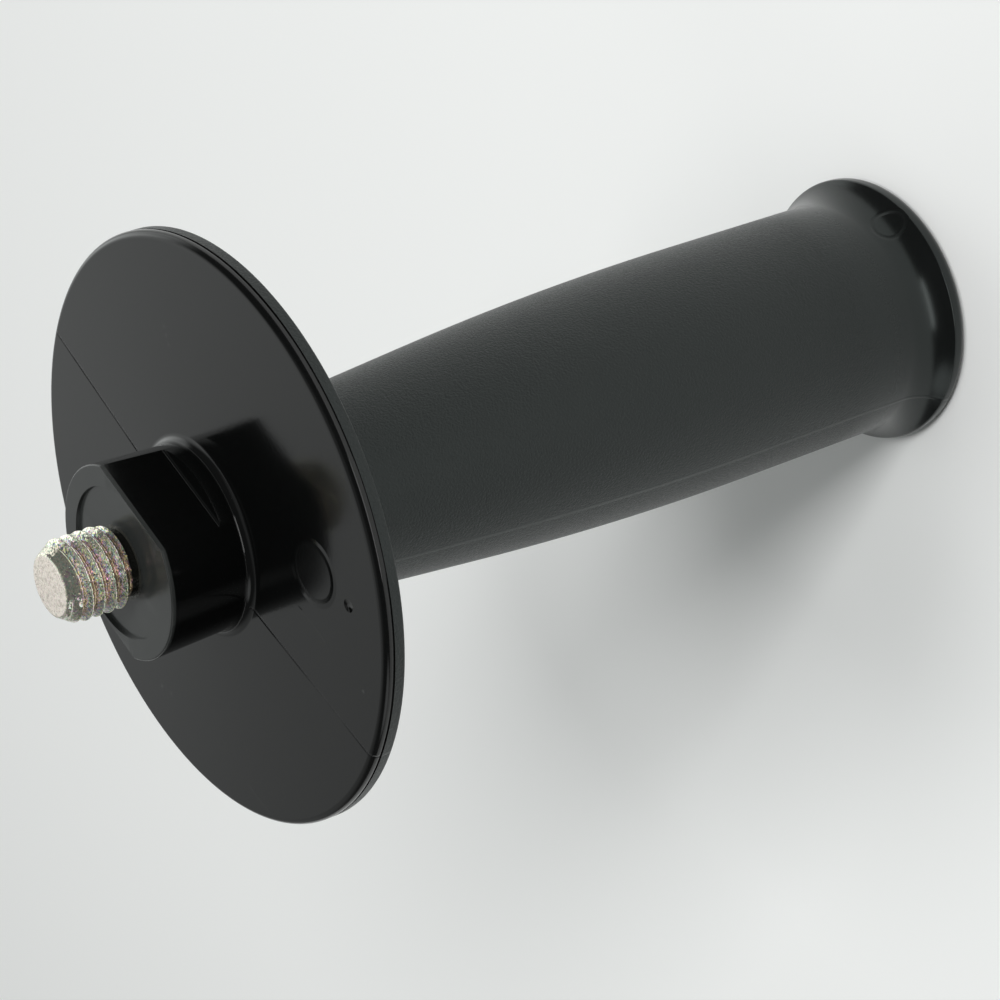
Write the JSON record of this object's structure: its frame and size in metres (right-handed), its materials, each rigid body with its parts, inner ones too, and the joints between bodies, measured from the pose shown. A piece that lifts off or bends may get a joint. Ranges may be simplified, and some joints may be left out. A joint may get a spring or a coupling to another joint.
{
  "type": "power tool side handle",
  "caption": "Auxiliary side handle for a hand-held power tool: barrelled plastic grip with a flared end, a round hand guard, a boss with spanner flats and a threaded steel stud.",
  "frame": {"origin": "centre of the open end of the grip, on the flat that the handle stands on", "axes": "+Z along the grip and the stud, out of the stud's point; the spanner flats face -Y and +Y, and the mould's parting plane is Y = 0"},
  "size_m": [0.072, 0.072, 0.1273],
  "materials": {
    "black_plastic": "fine spark-eroded grain on the grip, glossy on the guard disc and the boss",
    "plated_steel": "bright zinc plating with a faint rainbow passivation"
  },
  "bodies": {
    "root": {"handle_moulding": "black_plastic", "threaded_stud": "plated_steel"}
  },
  "joints": []
}
